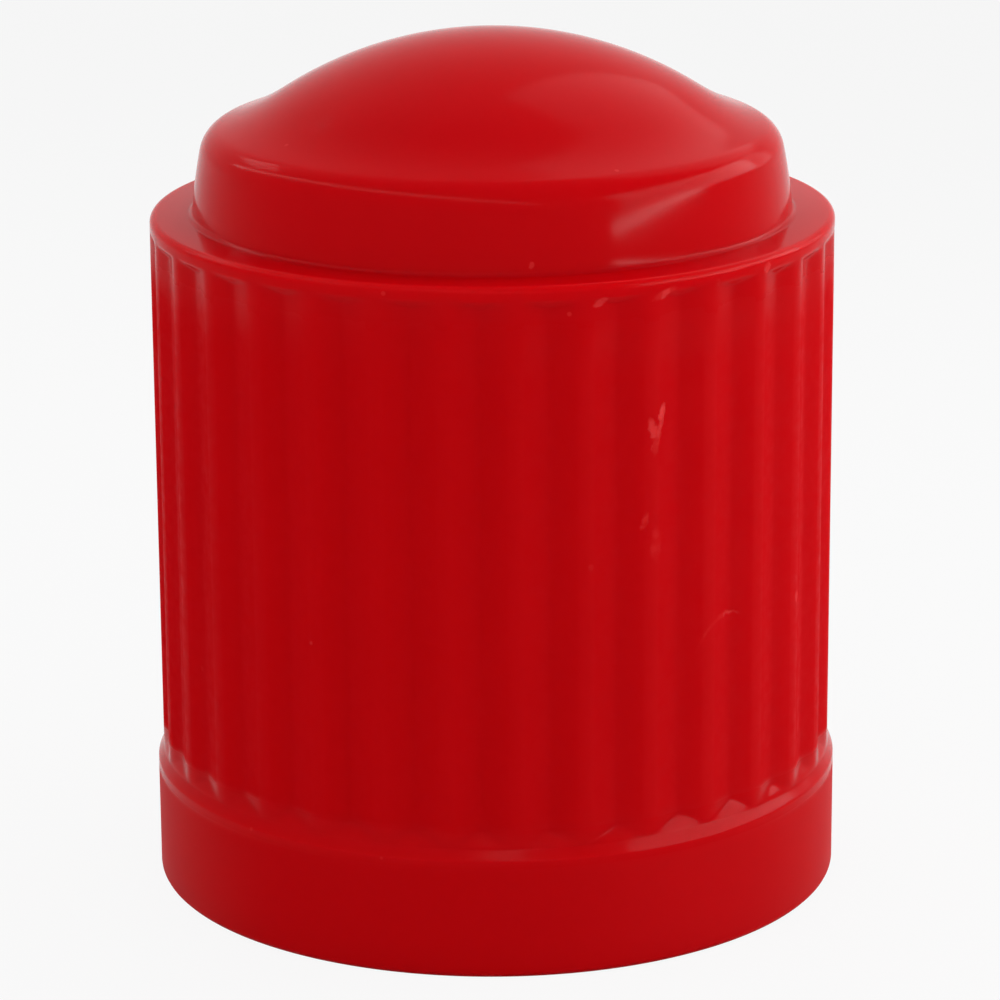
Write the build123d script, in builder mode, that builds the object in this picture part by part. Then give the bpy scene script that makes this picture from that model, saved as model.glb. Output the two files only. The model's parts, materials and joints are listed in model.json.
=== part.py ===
from build123d import *
from math import cos, pi, radians, sin, tan
import os

# Screw-on dust cap for a car tyre valve, moulded in one piece from plastic.
# The origin is the centre of the mouth's rim and +Z runs up the axis to the domed end.
# Lengths are in millimetres and angles in degrees.

# Valve stem that the cap screws on to, and the bore that clears its thread
stem_diameter = 7.75
stem_clearance = 0.075
mouth_lead = 0.35

# Walls and steps, from the bore outwards
groove_wall = 0.78
groove_depth = 0.09
collar_step = 0.08
ledge_width = 0.595
stop_width = 1.05
crown_wall = 1.3

# Heights, stacked up from the rim
collar_height = 1.7
grip_length = 7.97
neck_height = 0.88
pocket_depth = 2.85

# Ribbed grip
rib_count = 32
crest_width = 0.18
groove_root_radius = 0.3
foot_slope = 63
foot_rise = 0.02

# Neck and dome: each curve runs on smoothly from the one below it
neck_draft = 8.5
roll_radius = 0.44
shoulder_slope = 18.8
hollow_radius = 3.4
crown_slope = 33.2

# Broken and rounded edges
rim_break = 0.1
rib_top_round = 0.17
pocket_break = 0.45

# Radii that follow from the walls
bore_radius = stem_diameter / 2 + stem_clearance
pocket_radius = bore_radius - stop_width
groove_radius = bore_radius + groove_wall
rib_radius = groove_radius + groove_depth
collar_radius = rib_radius + collar_step
neck_radius = rib_radius - ledge_width
neck_top_radius = neck_radius - neck_height * tan(radians(neck_draft))

# Heights of the ribs' lower ends, of the ledge over them and of the neck's upper end
foot_height = collar_height + collar_step * tan(radians(foot_slope))
ledge_height = collar_height + grip_length
neck_top_height = ledge_height + neck_height

# Mouth of one groove, between the crests of two neighbouring ribs
rib_pitch = 2 * pi * rib_radius / rib_count
mouth_half_angle = (rib_pitch - crest_width) / 2 / rib_radius
mouth_half_width = rib_radius * sin(mouth_half_angle)
mouth_reach = rib_radius * cos(mouth_half_angle)

# Cutter for one grip groove: a round root, straight flanks out to the crests on either side,
# and a foot with the slope of the cone that leads from the collar in to the ribs, just above it
foot_tilt = radians(foot_slope)
foot = Plane(origin=(rib_radius, 0, foot_height + foot_rise), z_dir=(sin(foot_tilt), 0, cos(foot_tilt)))
with BuildPart() as groove:
    with BuildSketch(Plane.XY.offset(collar_height)):
        with BuildLine():
            CenterArc((groove_radius + groove_root_radius, 0), groove_root_radius, 0, 360)
            Polyline(
                (mouth_reach, -mouth_half_width),
                (rib_radius + foot_rise, -mouth_half_width),
                (rib_radius + foot_rise, mouth_half_width),
                (mouth_reach, mouth_half_width),
            )
        make_hull()
    extrude(amount=grip_length)
    split(bisect_by=foot, keep=Keep.TOP)

with BuildPart() as valve_cap:
    # Half section: the outside from the rim up to the apex, then the pocket and the bore back down
    with BuildSketch(Plane.XZ) as section:
        with BuildLine():
            skirt = Polyline(
                (bore_radius + mouth_lead, 0),
                (collar_radius, 0),
                (collar_radius, collar_height),
                (rib_radius, foot_height),
                (rib_radius, ledge_height),
                (neck_radius, ledge_height),
            )
            neck = Line(skirt @ 1, (neck_top_radius, neck_top_height))
            roll = JernArc(neck @ 1, neck % 1, roll_radius, 90 - neck_draft - shoulder_slope)
            hollow = JernArc(roll @ 1, roll % 1, hollow_radius, shoulder_slope - crown_slope)
            crown_radius = (hollow @ 1).X / sin(radians(crown_slope))
            crown = JernArc(hollow @ 1, hollow % 1, crown_radius, crown_slope)
            pocket_top = (crown @ 1).Y - crown_wall
            stop_height = pocket_top - pocket_depth
            Polyline(
                crown @ 1,
                (0, pocket_top),
                (pocket_radius, pocket_top),
                (pocket_radius, stop_height),
                (bore_radius, stop_height),
                (bore_radius, mouth_lead),
                skirt @ 0,
            )
        make_face()
        rim_corner = section.vertices().sort_by_distance((collar_radius, 0))[0]
        chamfer(rim_corner, rim_break)
        rib_top_corner = section.vertices().sort_by_distance((rib_radius, ledge_height))[0]
        fillet(rib_top_corner, rib_top_round)
        pocket_corner = section.vertices().sort_by_distance((pocket_radius, pocket_top))[0]
        chamfer(pocket_corner, pocket_break)
    revolve(axis=Axis.Z)

    # Ribs: what is left standing between the grooves
    with PolarLocations(0, rib_count, start_angle=180 / rib_count):
        add(groove.part, mode=Mode.SUBTRACT)

valve_cap.part.label = "valve_cap"

os.makedirs("parts", exist_ok=True)
export_step(valve_cap.part, "parts/valve_cap.step")
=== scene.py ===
import bpy
import json
from math import ceil, cos, pi, radians, sin, tan
from mathutils import Matrix, Vector


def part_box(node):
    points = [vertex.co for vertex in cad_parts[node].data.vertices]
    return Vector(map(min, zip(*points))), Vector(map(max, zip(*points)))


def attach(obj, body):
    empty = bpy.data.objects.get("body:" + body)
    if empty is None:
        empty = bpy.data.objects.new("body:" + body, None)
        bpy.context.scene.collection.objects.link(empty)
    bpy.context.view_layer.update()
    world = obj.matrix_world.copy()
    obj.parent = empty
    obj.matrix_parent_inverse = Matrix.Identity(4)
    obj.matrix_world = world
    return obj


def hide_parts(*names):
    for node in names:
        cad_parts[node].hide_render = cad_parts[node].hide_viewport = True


# Screw-on dust cap for a car tyre valve: one red plastic moulding.
# Lengths below are in millimetres and angles in degrees; MM turns them into the frame's metres.

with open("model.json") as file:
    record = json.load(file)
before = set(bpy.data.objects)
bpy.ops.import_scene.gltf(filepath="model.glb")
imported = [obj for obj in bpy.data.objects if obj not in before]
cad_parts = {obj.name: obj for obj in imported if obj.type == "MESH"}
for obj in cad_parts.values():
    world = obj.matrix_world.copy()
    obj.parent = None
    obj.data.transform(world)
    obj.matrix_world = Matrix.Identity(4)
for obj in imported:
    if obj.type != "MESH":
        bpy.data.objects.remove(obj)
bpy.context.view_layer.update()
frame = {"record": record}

MM = 0.001
mounts = {mount["name"]: mount for mount in frame["record"]["mounts"]}
stem_thread = mounts["stem_thread"]["dims"]
collar_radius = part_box("valve_cap")[1].x / MM
bore_radius = stem_thread["r_mm"]
bore_length = stem_thread["length_mm"]

# Walls and steps of the half section
MOUTH_LEAD = 0.35
LEAD_SLOPE = 45
COLLAR_STEP = 0.08
GROOVE_DEPTH = 0.09
LEDGE_WIDTH = 0.595
STOP_WIDTH = 1.05
POCKET_DEPTH = 2.85

# Heights, stacked up from the rim
COLLAR_HEIGHT = 1.7
GRIP_LENGTH = 7.97
NECK_HEIGHT = 0.9

# Neck and dome
NECK_DRAFT = 8.5
NECK_BULGE = 6
ROLL_RADIUS = 0.44
SHOULDER_SLOPE = 18.8
HOLLOW_RADIUS = 3.4
CROWN_SLOPE = 33.2

# Edges as the mould leaves them
RIM_ROUND = 0.1
COLLAR_ROUND = 0.08
CREST_FOOT_ROUND = 0.08
RIB_TOP_ROUND = 0.1
NECK_FOOT_ROUND = 0.08
INNER_ROUND = 0.05
POCKET_ROUND = 0.6

# Ribbed grip
RIB_COUNT = 32
CREST_WIDTH = 0.18
GROOVE_ROOT_RADIUS = 0.3
GROOVE_SPREAD = 0.12
GROOVE_SEED = 7
FOOT_SLOPE = 63
FOOT_RISE = 0.02
HEAD_DROP = 0.2
HEAD_SLOPE = 50
EDGE_SOFTNESS = 0.02

# Right-handed thread in the bore, 32 turns to the inch; its ridge falls from the edge of the crest
# to the root between these shares of a pitch, on either side of the ridge's middle
THREAD_PITCH = 25.4 / 32
THREAD_HEIGHT = 0.42
THREAD_START = 0.75
THREAD_END = 6.9
THREAD_FADE = 0.5
THREAD_CREST_EDGE = 0.08
THREAD_ROOT_EDGE = 0.4

# Mesh density: columns in one rib's pitch, and the longest step along a stretch of the section
COLUMNS_PER_RIB = 12
COLUMN_CROWDING = 0.55
LONG_STEP = 0.5
GRIP_STEP = 0.2
FOOT_STEP = 0.03
POCKET_STEP = 1.0
THREAD_STEP = THREAD_PITCH / 10
WELD_GAP = 0.0001

# Pieces that each curve of the section is drawn in
RIM_PIECES = 5
COLLAR_PIECES = 3
RIB_TOP_PIECES = 6
NECK_FOOT_PIECES = 5
NECK_PIECES = 6
ROLL_PIECES = 12
HOLLOW_PIECES = 6
CROWN_PIECES = 18
INNER_PIECES = 2
POCKET_PIECES = 5

# Plastic: two reds that drift into each other in clouds, with a finer mottle in them
LIGHT_RED = (0.5, 0.001, 0.003, 1.0)
DARK_RED = (0.46, 0.0007, 0.0025, 1.0)
CLOUD_SCALE = 700.0
CLOUD_DETAIL = 3.0
CLOUD_SHARE = 0.6
MOTTLE_SCALE = 6000.0
MOTTLE_DETAIL = 2.0
REFRACTION = 1.1
GLOW_WEIGHT = 0.8
GLOW_RADIUS = (1.0, 0.25, 0.15)
GLOW_DEPTH = 0.5

# Finish: how rough the bare skin is, and how much matter it is elsewhere
SKIN_ROUGHNESS = 0.13
COLLAR_MATTNESS = 0.4
GRIP_MATTNESS = 0.5
GROOVE_MATTNESS = 0.7
SCAR_AND_HIGHLIGHT_MATTNESS = 0.4
ROUGHNESS_SPREAD = 0.05
GRIP_SPREAD = 0.5
SWELL_HEIGHT = 0.001
GRAIN_HEIGHT = 0.0004
SCAR_AND_HIGHLIGHT_DEPTH = 0.012

# Where the mattness is full and where it has gone: down from the collar's edge, up from the ribs'
# feet, up the grip, and in from a groove's edge as a share of its depth
COLLAR_MATT = 0.2
COLLAR_GLOSSY = 0.05
FEET_MATT = 0.35
FEET_GLOSSY = 0.2
GRIP_MATT = 8.3
GRIP_GLOSSY = 9.5
GROOVE_MATT = 0.12

# Stray pale grains in the plastic
GRAIN_SCALE = 1200.0
GRAIN_SIZE = 0.05
GRAIN_SHARE = 0.5
GRAIN_STRENGTH = 0.35

# Scars, and the painted highlights drawn the same way: their colour, their ragged edges and the patches
# where they are thinner
SCAR_AND_HIGHLIGHT_PINK = (0.68, 0.045, 0.045, 1.0)
RAGGED_SCALE = 9000.0
RAGGED_DETAIL = 2.0
RAGGED_REACH = 0.12
THIN_SCALE = 4500.0
THIN_DETAIL = 2.0
THIN_STRENGTH = 0.3
THICK_ABOVE = 0.58
THIN_BELOW = 0.42
SKIN_MARGIN = 0.1

# Scuffs and painted highlights: angle from +X and height of the middle, half length, half width, lean and
# strength
SCUFFS_AND_HIGHLIGHTS = (
    (-65.75, 7.75, 0.22, 0.06, 10, 0.9),
    (-66.6, 7.45, 0.26, 0.065, 10, 0.6),
    (-67.4, 7.6, 0.2, 0.07, -12, 0.55),
    (-68.6, 6.36, 0.14, 0.06, 15, 0.28),
    (-66.6, 6.0, 0.3, 0.1, 0, 0.15),
    (-78.0, 5.78, 0.06, 0.05, 0, 0.35),
    (-32.9, 4.66, 0.12, 0.07, 0, 0.5),
    (-86.4, 9.82, 0.05, 0.05, 0, 0.4),
    # Not scuffs: these four are painted highlights, the pale glints on the rib tops just under the ledge
    (-76.1, 9.42, 0.13, 0.055, 65, 0.4),
    (-65.2, 9.44, 0.22, 0.06, 70, 0.6),
    (-54.9, 9.47, 0.06, 0.05, 0, 0.35),
    (-43.3, 9.5, 0.11, 0.065, 0, 0.65),
    (-152.8, 3.67, 0.06, 0.05, 0, 0.4),
)
SCUFF_AND_HIGHLIGHT_CORE = 0.2

# Curved scratch: angle and height of its circle's middle, radius, half width, and the turns round
# that middle where it starts and ends
SCRATCH = (-51.8, 4.2, 0.59, 0.045, 176, 70)
SCRATCH_STRENGTH = 0.5
SCRATCH_TIP = 8

# Camera, fitted to the photograph's outline
IMAGE_WIDTH = 1000
FOCAL_PIXELS = 4520.7
SENSOR_WIDTH = 36
CAMERA_DISTANCE = 64.61
CAMERA_ELEVATION = 15.39
CAMERA_AZIMUTH = -3.4
CAMERA_ROLL = -0.365
AIM_HEIGHT = 6.38
VIEW_HEIGHT = 5.38
VIEW_SIDE = 0.083
NEAREST_SEEN = 1
FARTHEST_SEEN = 6000

# Floor and surroundings
FLOOR_REACH = 1500
FLOOR_GREY = (0.5, 0.5, 0.5, 1.0)
FLOOR_ROUGHNESS = 0.9
FLOOR_WHITENESS = 0.9
AMBIENT = 0.4

# Lamps: azimuth right of the camera's side, elevation, the angles filled across and up, and radiance.
# The fills only light the cap. The shines, far off, only show in its gloss, and the last number tilts them.
FILL_DISTANCE = 36
SHINE_DISTANCE = 400
LAMP_POWER = 4
FILLS = {
    "front_fill": (6, 17, 116, 36, 1.08),
    "left_fill": (-72, 28, 50, 40, 0.92),
    "right_fill": (76, 20, 50, 40, 1.55),
    "top_fill": (160, 55, 90, 50, 1.35),
}
SHINES = {
    "right_strip": (68, 5.9, 44, 2.0, 28.0, 4),
    "right_window": (88, 23, 74, 28, 5.0, 0),
    "far_window": (132, 14, 18, 22, 1.0, 0),
    "dome_glow": (144, 44, 32, 40, 0.8, 0),
    "left_window": (-133, 36, 18, 12, 2.0, 0),
    "top_strip": (-55, 50, 130, 9, 3.5, 0),
}

rib_radius = collar_radius - COLLAR_STEP
foot_height = COLLAR_HEIGHT + COLLAR_STEP * tan(radians(FOOT_SLOPE))
ledge_height = COLLAR_HEIGHT + GRIP_LENGTH


class SectionPen:
    """Walks along the half section and notes each point's radius, height and what is cut there."""

    def __init__(self, radius, height, heading):
        self.place = Vector((radius, height))
        self.heading = heading
        self.points = []

    def note(self, place, grooved, threaded):
        self.place = place
        self.points.append((place.x, place.y, grooved, threaded))

    def line(self, length, step=LONG_STEP, grooved=0.0, threaded=None):
        start = self.place
        pieces = max(1, ceil(length / step))
        along = Vector((cos(radians(self.heading)), sin(radians(self.heading))))
        for number in range(1, pieces + 1):
            place = start + along * (length * number / pieces)
            self.note(place, grooved, threaded(place.y) if threaded else 0.0)

    def arc(self, radius, turn, pieces, grooved=0.0):
        side = 90 if turn > 0 else -90
        spoke = radians(self.heading + side)
        centre = self.place + Vector((cos(spoke), sin(spoke))) * radius
        start = self.place - centre
        for number in range(1, pieces + 1):
            swing = Matrix.Rotation(radians(turn) * number / pieces, 2)
            self.note(centre + swing @ start, grooved, 0.0)
        self.heading += turn


def thread_weight(height):
    """Full between the thread's ends and fading out past them."""
    below = (height - THREAD_START + THREAD_FADE) / THREAD_FADE
    above = (THREAD_END + THREAD_FADE - height) / THREAD_FADE
    return max(0.0, min(1.0, below, above))


def outer_section(start_radius):
    """From the rim out over the collar, up the grip and the neck, and over the dome to the apex."""
    pen = SectionPen(start_radius, 0, heading=0)
    pen.line(collar_radius - start_radius - RIM_ROUND)
    pen.arc(RIM_ROUND, 90, RIM_PIECES)

    # Collar, and the cone that leads from it in to the ribs
    lean = 90 - FOOT_SLOPE
    collar_tangent = COLLAR_ROUND * tan(radians(lean / 2))
    crest_tangent = CREST_FOOT_ROUND * tan(radians(lean / 2))
    cone_length = COLLAR_STEP / sin(radians(lean)) - collar_tangent - crest_tangent
    pen.line(COLLAR_HEIGHT - RIM_ROUND - collar_tangent)
    pen.arc(COLLAR_ROUND, lean, COLLAR_PIECES)
    pen.line(cone_length, FOOT_STEP, grooved=1.0)
    pen.arc(CREST_FOOT_ROUND, -lean, COLLAR_PIECES, grooved=1.0)

    # Grip, with close rows where the grooves run out at their feet and heads
    foot_length = FOOT_RISE + GROOVE_DEPTH * tan(radians(FOOT_SLOPE)) + EDGE_SOFTNESS
    head_length = GROOVE_DEPTH * tan(radians(HEAD_SLOPE)) + EDGE_SOFTNESS
    pen.line(foot_length, FOOT_STEP, grooved=1.0)
    pen.line(ledge_height - HEAD_DROP - head_length - pen.place.y, GRIP_STEP, grooved=1.0)
    pen.line(ledge_height - RIB_TOP_ROUND - pen.place.y, FOOT_STEP, grooved=1.0)
    pen.arc(RIB_TOP_ROUND, 90, RIB_TOP_PIECES)

    # Ledge and neck
    foot_turn = 90 - NECK_DRAFT + NECK_BULGE / 2
    neck_tangent = NECK_FOOT_ROUND * tan(radians(foot_turn / 2))
    neck_chord = NECK_HEIGHT / cos(radians(NECK_DRAFT)) - neck_tangent
    pen.line(LEDGE_WIDTH - RIB_TOP_ROUND - neck_tangent)
    pen.arc(NECK_FOOT_ROUND, -foot_turn, NECK_FOOT_PIECES)
    pen.arc(neck_chord / (2 * sin(radians(NECK_BULGE / 2))), NECK_BULGE, NECK_PIECES)

    # Dome
    pen.arc(ROLL_RADIUS, foot_turn - NECK_BULGE - SHOULDER_SLOPE, ROLL_PIECES)
    pen.arc(HOLLOW_RADIUS, SHOULDER_SLOPE - CROWN_SLOPE, HOLLOW_PIECES)
    pen.arc(pen.place.x / sin(radians(CROWN_SLOPE)), CROWN_SLOPE, CROWN_PIECES)
    return pen.points


def inner_section(start_radius):
    """From the rim in over the mouth's lead, up the bore and the pocket, to the middle of its roof."""
    pen = SectionPen(start_radius, 0, heading=180)
    lead_tangent = INNER_ROUND * tan(radians(LEAD_SLOPE / 2))
    pen.line(start_radius - bore_radius - MOUTH_LEAD - lead_tangent)
    pen.arc(INNER_ROUND, -LEAD_SLOPE, INNER_PIECES)
    pen.line(MOUTH_LEAD / cos(radians(LEAD_SLOPE)) - 2 * lead_tangent)
    pen.arc(INNER_ROUND, -LEAD_SLOPE, INNER_PIECES)
    stop_height = MOUTH_LEAD + bore_length
    pen.line(stop_height - INNER_ROUND - pen.place.y, THREAD_STEP, threaded=thread_weight)
    pen.arc(INNER_ROUND, 90, INNER_PIECES)
    pen.line(STOP_WIDTH - 2 * INNER_ROUND)
    pen.arc(INNER_ROUND, -90, INNER_PIECES)
    pen.line(POCKET_DEPTH - INNER_ROUND - POCKET_ROUND, POCKET_STEP)
    pen.arc(POCKET_ROUND, 90, POCKET_PIECES)
    pen.line(pen.place.x, POCKET_STEP)
    return pen.points


def section_object():
    """The half section as a chain of edges, from the apex round the mouth to the pocket's roof."""
    rim_middle = (bore_radius + MOUTH_LEAD + collar_radius) / 2
    outside = outer_section(rim_middle)
    inside = inner_section(rim_middle)
    chain = outside[::-1] + [(rim_middle, 0.0, 0.0, 0.0)] + inside
    mesh = bpy.data.meshes.new("cap_section")
    places = [(max(radius, 0.0) * MM, 0.0, height * MM) for radius, height, _, _ in chain]
    mesh.from_pydata(places, [(k, k + 1) for k in range(len(chain) - 1)], [])
    for field, name in ((2, "grooved"), (3, "threaded")):
        weights = mesh.attributes.new(name, "FLOAT", "POINT")
        weights.data.foreach_set("value", [point[field] for point in chain])
    section = bpy.data.objects.new("cap_section", mesh)
    bpy.context.scene.collection.objects.link(section)
    return section


class Wire:
    """One output socket, so that sums on it are written as Python expressions."""

    def __init__(self, graph, socket):
        self.graph = graph
        self.socket = socket

    def math(self, operation, *others):
        inputs = dict(enumerate((self, *others)))
        return self.graph.make("ShaderNodeMath", {"operation": operation}, inputs)

    def reflected(self, operation, first):
        return self.graph.make("ShaderNodeMath", {"operation": operation}, {0: first, 1: self})

    def __add__(self, other):
        return self.math("ADD", other)

    def __sub__(self, other):
        return self.math("SUBTRACT", other)

    def __mul__(self, other):
        return self.math("MULTIPLY", other)

    def __truediv__(self, other):
        return self.math("DIVIDE", other)

    def __mod__(self, other):
        return self.math("FLOORED_MODULO", other)

    def __abs__(self):
        return self.math("ABSOLUTE")

    def __rsub__(self, other):
        return self.reflected("SUBTRACT", other)

    def __rtruediv__(self, other):
        return self.reflected("DIVIDE", other)

    __radd__ = __add__
    __rmul__ = __mul__

    def output(self, name):
        """Another output of the same node."""
        return Wire(self.graph, self.socket.node.outputs[name])


class Graph:
    """A node tree that nodes are added to, one call each."""

    def __init__(self, tree):
        self.tree = tree

    def make(self, kind, settings=None, inputs=None, output=0):
        """Adds a node: its settings first, then the values or links of its sockets."""
        node = self.tree.nodes.new(kind)
        for name, value in (settings or {}).items():
            setattr(node, name, value)
        for name, value in (inputs or {}).items():
            if isinstance(value, Wire):
                self.tree.links.new(value.socket, node.inputs[name])
            else:
                node.inputs[name].default_value = value
        return Wire(self, node.outputs[output]) if node.outputs else node

    def fade(self, value, full, gone):
        """1 where the value is at full or beyond it, 0 where it is gone."""
        limits = {"Value": value, "From Min": gone, "From Max": full}
        return self.make("ShaderNodeMapRange", {"interpolation_type": "SMOOTHSTEP"}, limits)

    def noise(self, place, scale, detail):
        """Soft noise from 0 to 1."""
        return self.make("ShaderNodeTexNoise", inputs={"Vector": place, "Scale": scale, "Detail": detail})

    def blend(self, share, first, second):
        """The first colour, going over to the second as the share goes up to 1."""
        colours = {0: share, 6: first, 7: second}
        return self.make("ShaderNodeMix", {"data_type": "RGBA"}, colours, output=2)


CAP_INPUTS = {
    "Section": "NodeSocketGeometry",
    "Rib Count": "NodeSocketInt",
    "Columns per Rib": "NodeSocketInt",
    "Column Crowding": "NodeSocketFloat",
    "Rib Radius": "NodeSocketFloat",
    "Groove Depth": "NodeSocketFloat",
    "Groove Spread": "NodeSocketFloat",
    "Crest Width": "NodeSocketFloat",
    "Root Radius": "NodeSocketFloat",
    "Foot Height": "NodeSocketFloat",
    "Foot Slope": "NodeSocketFloat",
    "Head Height": "NodeSocketFloat",
    "Head Slope": "NodeSocketFloat",
    "Edge Softness": "NodeSocketFloat",
    "Thread Pitch": "NodeSocketFloat",
    "Thread Height": "NodeSocketFloat",
    "Seed": "NodeSocketInt",
    "Plastic": "NodeSocketMaterial",
}


def cap_tree():
    """Sweeps the section round the axis, cuts the grip's grooves and raises the bore's thread."""
    tree = bpy.data.node_groups.new("cap_moulding", "GeometryNodeTree")
    for name, kind in CAP_INPUTS.items():
        tree.interface.new_socket(name, in_out="INPUT", socket_type=kind)
    tree.interface.new_socket("Cap", in_out="OUTPUT", socket_type="NodeSocketGeometry")
    graph = Graph(tree)
    given = graph.make("NodeGroupInput")

    # A sheet of vertices: one column for each step round the axis, one row for each section point
    section = given.output("Section")
    rows = graph.make("GeometryNodeAttributeDomainSize", inputs={"Geometry": section}, output="Point Count")
    columns = given.output("Rib Count") * given.output("Columns per Rib")
    sheet = graph.make("GeometryNodeMeshGrid", inputs={"Vertices X": columns + 1, "Vertices Y": rows})
    index = graph.make("GeometryNodeInputIndex")
    row = index % rows
    column = (index / rows).math("FLOOR")

    # What the section says at this row
    def sampled(value, kind):
        settings = {"data_type": kind, "domain": "POINT"}
        inputs = {"Geometry": section, "Value": value, "Index": row}
        return graph.make("GeometryNodeSampleIndex", settings, inputs)

    def weight(name):
        settings = {"data_type": "FLOAT"}
        return sampled(graph.make("GeometryNodeInputNamedAttribute", settings, {"Name": name}), "FLOAT")

    place = sampled(graph.make("GeometryNodeInputPosition"), "FLOAT_VECTOR")
    radius = graph.make("ShaderNodeSeparateXYZ", inputs={"Vector": place}, output="X")
    height = radius.output("Z")

    # Angle round the axis, with the columns crowded at the crests and the roots
    rib = (column / given.output("Columns per Rib")).math("FLOOR")
    across = (column % given.output("Columns per Rib")) / given.output("Columns per Rib") - 0.5
    offset = across - given.output("Column Crowding") * (across * (4 * pi)).math("SINE") / (4 * pi)
    turns = (rib + 0.5 + offset) / given.output("Rib Count")
    angle = turns * (2 * pi)

    # Groove across its width: a round root that opens into straight flanks
    pitch = 2 * pi * given.output("Rib Radius") / given.output("Rib Count")
    half_mouth = (pitch - given.output("Crest Width")) / 2
    shares = {2: 1 - given.output("Groove Spread"), 3: 1.0, "ID": rib, "Seed": given.output("Seed")}
    share = graph.make("FunctionNodeRandomValue", {"data_type": "FLOAT"}, shares, output=1)
    depth = given.output("Groove Depth") * share
    steepness = depth * depth / (half_mouth * half_mouth - 2 * depth * given.output("Root Radius"))
    bluntness = given.output("Root Radius") * steepness
    sideways = offset * pitch
    rise = (steepness * sideways * sideways + bluntness * bluntness).math("SQRT") - bluntness
    groove = given.output("Rib Radius") - depth + rise

    # Sloping foot and head where the groove runs out above the collar and below the ledge
    foot_reach = (height - given.output("Foot Height")) / given.output("Foot Slope").math("TANGENT")
    head_reach = (given.output("Head Height") - height) / given.output("Head Slope").math("TANGENT")
    reach = foot_reach.math("MINIMUM", head_reach)
    softness = given.output("Edge Softness")
    cut = groove.math("SMOOTH_MAX", given.output("Rib Radius") - reach, softness)
    grooved_radius = radius.math("SMOOTH_MIN", cut, softness)
    grip_radius = radius + (grooved_radius - radius) * weight("grooved")

    # Right-handed thread: a ridge with a flat crest that climbs one pitch in each turn
    phase = (height / given.output("Thread Pitch") - turns) % 1.0
    ridge = graph.fade(abs(phase - 0.5), THREAD_CREST_EDGE, THREAD_ROOT_EDGE)
    final_radius = grip_radius - ridge * weight("threaded") * given.output("Thread Height")

    # Each vertex goes to its place, and keeps how deep in a groove it lies, for the finish
    swept = {"X": final_radius * angle.math("COSINE"), "Y": final_radius * angle.math("SINE"), "Z": height}
    position = graph.make("ShaderNodeCombineXYZ", inputs=swept)
    cap = graph.make("GeometryNodeSetPosition", inputs={"Geometry": sheet, "Position": position})
    hollow = (radius - final_radius) / given.output("Groove Depth") * weight("grooved")
    stored = {"Geometry": cap, "Name": "hollow", "Value": hollow}
    kept_as = {"data_type": "FLOAT", "domain": "POINT"}
    cap = graph.make("GeometryNodeStoreNamedAttribute", kept_as, stored)

    # Seam and poles are closed, and the faces turned outwards
    cap = graph.make("GeometryNodeMergeByDistance", inputs={"Geometry": cap, "Distance": WELD_GAP * MM})
    cap = graph.make("GeometryNodeFlipFaces", inputs={"Mesh": cap})
    cap = graph.make("GeometryNodeSetShadeSmooth", inputs={"Geometry": cap})
    cap = graph.make("GeometryNodeRealizeInstances", inputs={"Geometry": cap})
    plastic = given.output("Plastic")
    cap = graph.make("GeometryNodeSetMaterial", inputs={"Geometry": cap, "Material": plastic})
    graph.make("NodeGroupOutput", inputs={"Cap": cap})
    return tree


def cap_piece(plastic):
    """Runs the tree on the section and keeps the result as a plain mesh."""
    section = section_object()
    tree = cap_tree()
    values = {
        "Rib Count": RIB_COUNT,
        "Columns per Rib": COLUMNS_PER_RIB,
        "Column Crowding": COLUMN_CROWDING,
        "Rib Radius": rib_radius * MM,
        "Groove Depth": GROOVE_DEPTH * MM,
        "Groove Spread": GROOVE_SPREAD,
        "Crest Width": CREST_WIDTH * MM,
        "Root Radius": GROOVE_ROOT_RADIUS * MM,
        "Foot Height": (foot_height + FOOT_RISE) * MM,
        "Foot Slope": radians(FOOT_SLOPE),
        "Head Height": (ledge_height - HEAD_DROP) * MM,
        "Head Slope": radians(HEAD_SLOPE),
        "Edge Softness": EDGE_SOFTNESS * MM,
        "Thread Pitch": THREAD_PITCH * MM,
        "Thread Height": THREAD_HEIGHT * MM,
        "Seed": GROOVE_SEED,
        "Plastic": plastic,
    }
    modifier = section.modifiers.new("moulding", "NODES")
    modifier.node_group = tree
    for socket in tree.interface.items_tree:
        if socket.in_out == "INPUT" and socket.name in values:
            modifier[socket.identifier] = values[socket.name]
    depsgraph = bpy.context.evaluated_depsgraph_get()
    mesh = bpy.data.meshes.new_from_object(section.evaluated_get(depsgraph))
    mesh.name = "cap_moulding"
    # The sheet brings an empty material slot of its own, ahead of the plastic's
    mesh.materials.pop(index=0)
    section.modifiers.remove(modifier)
    bpy.data.objects.remove(section)
    cap = bpy.data.objects.new("cap_moulding", mesh)
    bpy.context.scene.collection.objects.link(cap)
    return cap


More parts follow.
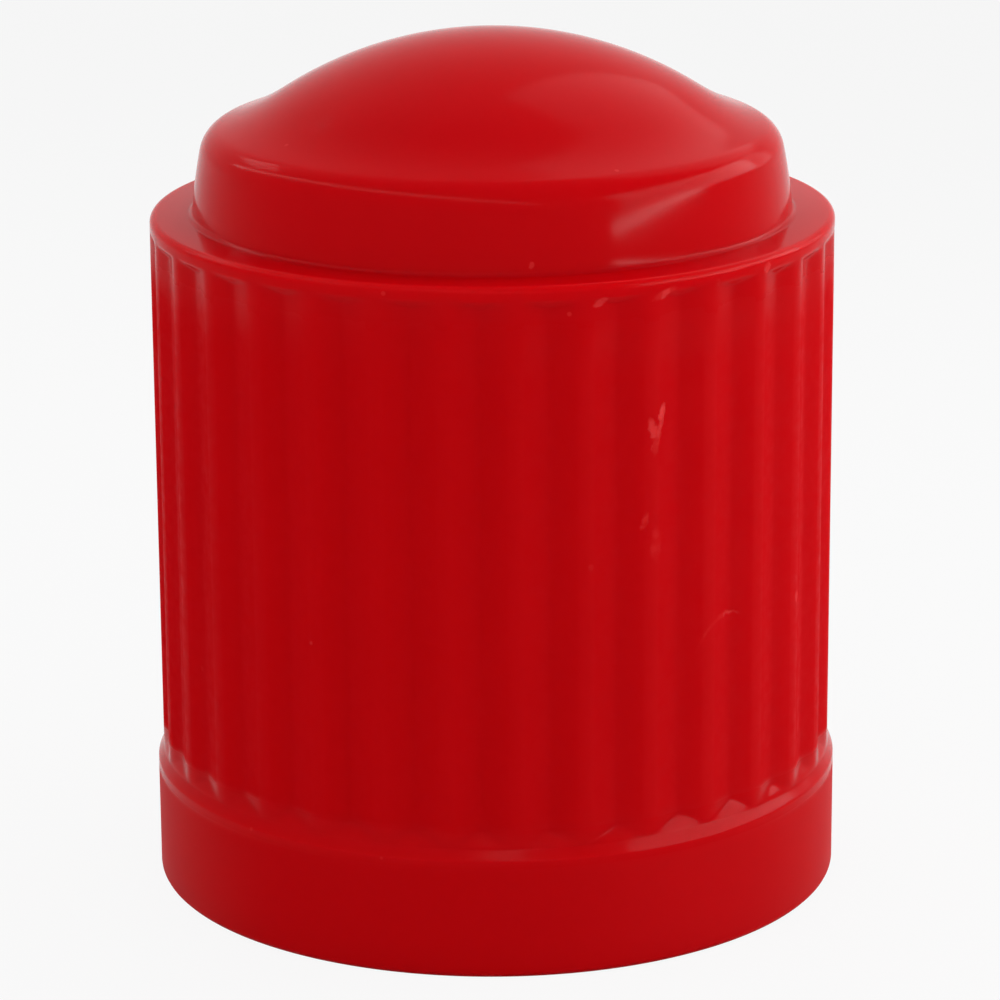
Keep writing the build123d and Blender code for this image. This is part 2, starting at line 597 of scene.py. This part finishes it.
class MarkedSkin:
    """The cap's outside unrolled: arc length round the grip against height, for marks set on it."""

    def __init__(self, graph, place):
        self.graph = graph
        across = graph.make("ShaderNodeSeparateXYZ", inputs={"Vector": place}, output="X")
        depth = across.output("Y")
        ragged = (graph.noise(place, RAGGED_SCALE, RAGGED_DETAIL) - 0.5) * (RAGGED_REACH * MM)
        self.around = depth.math("ARCTAN2", across) * (rib_radius * MM) + ragged
        self.height = across.output("Z") + ragged
        reach = (across * across + depth * depth).math("SQRT")
        self.outside = reach.math("GREATER_THAN", (bore_radius + SKIN_MARGIN) * MM)

    def offset(self, angle, height):
        """Distances from a point of the skin, round the cap and up it."""
        return self.around - radians(angle) * rib_radius * MM, self.height - height * MM

    def scuff_and_highlight(self, angle, height, half_length, half_width, lean):
        """An oval mark, its top leaning to the right by the given angle."""
        side, rise = self.offset(angle, height)
        along = (rise * cos(radians(lean)) + side * sin(radians(lean))) / (half_length * MM)
        across = (side * cos(radians(lean)) - rise * sin(radians(lean))) / (half_width * MM)
        return self.graph.fade(along * along + across * across, SCUFF_AND_HIGHLIGHT_CORE, 1.0)

    def scratch(self, angle, height, radius, half_width, start, end):
        """A line along part of a circle round the given point, faint at its start."""
        side, rise = self.offset(angle, height)
        reach = (side * side + rise * rise).math("SQRT")
        line = self.graph.fade(abs(reach - radius * MM), 0.0, half_width * MM)
        turn = rise.math("ARCTAN2", side)
        growing = self.graph.fade(turn, radians(end), radians(start))
        tip = self.graph.fade(turn, radians(end), radians(end - SCRATCH_TIP))
        return line * growing * tip


def red_plastic():
    """Deep red moulded plastic with a satin skin, a matter grip, the scars of use and painted highlights on
    the rib tops.
    """
    material = bpy.data.materials.new("red_moulded_plastic")
    material.use_nodes = True
    material.node_tree.nodes.clear()
    graph = Graph(material.node_tree)
    place = graph.make("ShaderNodeTexCoord", output="Object")

    # Scars and the painted rib-top highlights: the strongest of all the marks, thinner in patches and only
    # on the outside
    skin = MarkedSkin(graph, place)
    scar_and_highlight = skin.scratch(*SCRATCH) * SCRATCH_STRENGTH
    for *oval, strength in SCUFFS_AND_HIGHLIGHTS:
        scar_and_highlight = scar_and_highlight.math("MAXIMUM", skin.scuff_and_highlight(*oval) * strength)
    thick = graph.fade(graph.noise(place, THIN_SCALE, THIN_DETAIL), THICK_ABOVE, THIN_BELOW)
    scar_and_highlight = scar_and_highlight * skin.outside * (THIN_STRENGTH + (1 - THIN_STRENGTH) * thick)

    # Stray pale grains: a few of the cells of a coarse Voronoi pattern hold one at their middle
    cells = graph.make("ShaderNodeTexVoronoi", inputs={"Vector": place, "Scale": GRAIN_SCALE})
    chosen = graph.make("ShaderNodeSeparateColor", inputs={"Color": cells.output("Color")}, output="Red")
    grain = graph.fade(cells, GRAIN_SIZE / 2, GRAIN_SIZE) * chosen.math("GREATER_THAN", 1 - GRAIN_SHARE)
    pale = scar_and_highlight.math("MAXIMUM", grain * GRAIN_STRENGTH)

    # Pigment: cloudy over a millimetre, with a finer mottle in it
    cloud = graph.noise(place, CLOUD_SCALE, CLOUD_DETAIL)
    mottle = graph.noise(place, MOTTLE_SCALE, MOTTLE_DETAIL)
    pigment = graph.blend(cloud * CLOUD_SHARE + mottle * (1 - CLOUD_SHARE), LIGHT_RED, DARK_RED)
    # Pale pink for the scars, the grains and the painted highlights
    colour = graph.blend(pale, pigment, SCAR_AND_HIGHLIGHT_PINK)

    # Satin skin, matter on the collar and the grip and most of all in the grooves, the scars and the
    # painted highlights
    height = graph.make("ShaderNodeSeparateXYZ", inputs={"Vector": place}, output="Z")
    collar = graph.fade(height, (COLLAR_HEIGHT - COLLAR_MATT) * MM, (COLLAR_HEIGHT - COLLAR_GLOSSY) * MM)
    above_feet = graph.fade(height, (foot_height + FEET_MATT) * MM, (foot_height + FEET_GLOSSY) * MM)
    grip = above_feet * graph.fade(height, GRIP_MATT * MM, GRIP_GLOSSY * MM)
    hollow = graph.make("ShaderNodeAttribute", {"attribute_name": "hollow"}, output="Fac")
    grooves = grip * graph.fade(hollow, GROOVE_MATT, 0.0)
    matt = (collar * COLLAR_MATTNESS).math("MAXIMUM", grip * GRIP_MATTNESS)
    matt = matt.math("MAXIMUM", grooves * GROOVE_MATTNESS).math("MAXIMUM", scar_and_highlight * SCAR_AND_HIGHLIGHT_MATTNESS)
    uneven = (cloud - 0.5) * ROUGHNESS_SPREAD + (mottle - 0.5) * grip * GRIP_SPREAD
    rough = SKIN_ROUGHNESS + matt + uneven

    swell = (cloud - 0.5) * SWELL_HEIGHT + (mottle - 0.5) * GRAIN_HEIGHT - scar_and_highlight * SCAR_AND_HIGHLIGHT_DEPTH
    relief = graph.make("ShaderNodeBump", inputs={"Strength": 1.0, "Distance": MM, "Height": swell})
    surface = {
        "Base Color": colour,
        "Roughness": rough,
        "Normal": relief,
        "IOR": REFRACTION,
        "Subsurface Weight": GLOW_WEIGHT,
        "Subsurface Radius": GLOW_RADIUS,
        "Subsurface Scale": GLOW_DEPTH * MM,
    }
    shader = graph.make("ShaderNodeBsdfPrincipled", inputs=surface)
    graph.make("ShaderNodeOutputMaterial", inputs={"Surface": shader})
    return material


def shown_ray(graph):
    """1 for rays that show the surroundings as they are seen, 0 for those that only light the cap."""
    path = graph.make("ShaderNodeLightPath", output="Is Camera Ray")
    seen = path.math("MAXIMUM", path.output("Is Glossy Ray"))
    return seen.math("MAXIMUM", path.output("Is Transmission Ray"))


def pale_floor():
    """Plain white floor that keeps the cap's shadow."""
    material = bpy.data.materials.new("pale_floor")
    material.use_nodes = True
    material.node_tree.nodes.clear()
    graph = Graph(material.node_tree)
    paper = {"Base Color": FLOOR_GREY, "Roughness": FLOOR_ROUGHNESS, "Specular IOR Level": 0.0}
    lit = graph.make("ShaderNodeBsdfPrincipled", inputs=paper)
    white = graph.make("ShaderNodeEmission", inputs={"Strength": 1.0})
    whiteness = shown_ray(graph) * FLOOR_WHITENESS
    surface = graph.make("ShaderNodeMixShader", inputs={0: whiteness, 1: lit, 2: white})
    graph.make("ShaderNodeOutputMaterial", inputs={"Surface": surface})
    mesh = bpy.data.meshes.new("floor")
    reach = FLOOR_REACH * MM
    corners = [(-reach, -reach, 0), (reach, -reach, 0), (reach, reach, 0), (-reach, reach, 0)]
    mesh.from_pydata(corners, [], [(0, 1, 2, 3)])
    mesh.materials.append(material)
    floor = bpy.data.objects.new("floor", mesh)
    bpy.context.scene.collection.objects.link(floor)


def studio_world():
    """White where it is seen, and a plain soft light everywhere else."""
    world = bpy.data.worlds.new("studio")
    world.use_nodes = True
    world.node_tree.nodes.clear()
    graph = Graph(world.node_tree)
    strength = AMBIENT + shown_ray(graph) * (1 - AMBIENT)
    sky = graph.make("ShaderNodeBackground", inputs={"Strength": strength})
    graph.make("ShaderNodeOutputWorld", inputs={"Surface": sky})
    bpy.context.scene.world = world


def direction(azimuth, elevation):
    """Unit vector from the cap, with the azimuth measured to the right of the camera's side."""
    around = radians(CAMERA_AZIMUTH + azimuth)
    level = cos(radians(elevation))
    return Vector((sin(around) * level, -cos(around) * level, sin(radians(elevation))))


def softbox(name, distance, azimuth, elevation, width, height, radiance, tilt=0):
    """Area lamp that faces the cap's middle; width and height are the angles that it fills."""
    lamp = bpy.data.lights.new(name, "AREA")
    lamp.shape = "RECTANGLE"
    lamp.size = 2 * distance * MM * tan(radians(width / 2))
    lamp.size_y = 2 * distance * MM * tan(radians(height / 2))
    lamp.energy = radiance * LAMP_POWER * lamp.size * lamp.size_y
    towards = direction(azimuth, elevation)
    facing = towards.to_track_quat("Z", "Y").to_matrix() @ Matrix.Rotation(radians(tilt), 3, "Z")
    stand = bpy.data.objects.new(name, lamp)
    stand.location = Vector((0, 0, AIM_HEIGHT * MM)) + towards * distance * MM
    stand.rotation_euler = facing.to_euler()
    stand.visible_camera = False
    bpy.context.scene.collection.objects.link(stand)
    return stand


def studio_lamps():
    """Soft light on the cap, and the windows and strips that its gloss mirrors."""
    for name, setting in FILLS.items():
        softbox(name, FILL_DISTANCE, *setting).visible_glossy = False
    for name, setting in SHINES.items():
        softbox(name, SHINE_DISTANCE, *setting).visible_diffuse = False


def photo_camera():
    """Camera at the photograph's viewing angle."""
    lens = bpy.data.cameras.new("photo_view")
    lens.sensor_width = SENSOR_WIDTH
    lens.lens = FOCAL_PIXELS * SENSOR_WIDTH / IMAGE_WIDTH
    lens.clip_start = NEAREST_SEEN * MM
    lens.clip_end = FARTHEST_SEEN * MM
    camera = bpy.data.objects.new("photo_view", lens)
    stand = Vector((0, 0, AIM_HEIGHT * MM)) + direction(0, CAMERA_ELEVATION) * CAMERA_DISTANCE * MM
    aim = Vector((0, 0, VIEW_HEIGHT * MM)) + direction(90, 0) * VIEW_SIDE * MM
    facing = (aim - stand).to_track_quat("-Z", "Y").to_matrix()
    turn = facing @ Matrix.Rotation(radians(CAMERA_ROLL), 3, "Z")
    camera.matrix_world = Matrix.Translation(stand) @ turn.to_4x4()
    bpy.context.scene.collection.objects.link(camera)
    bpy.context.scene.camera = camera


cap = cap_piece(red_plastic())
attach(cap, "root")
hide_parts("valve_cap")

pale_floor()
studio_world()
studio_lamps()
photo_camera()
bpy.context.scene.view_settings.view_transform = "Standard"
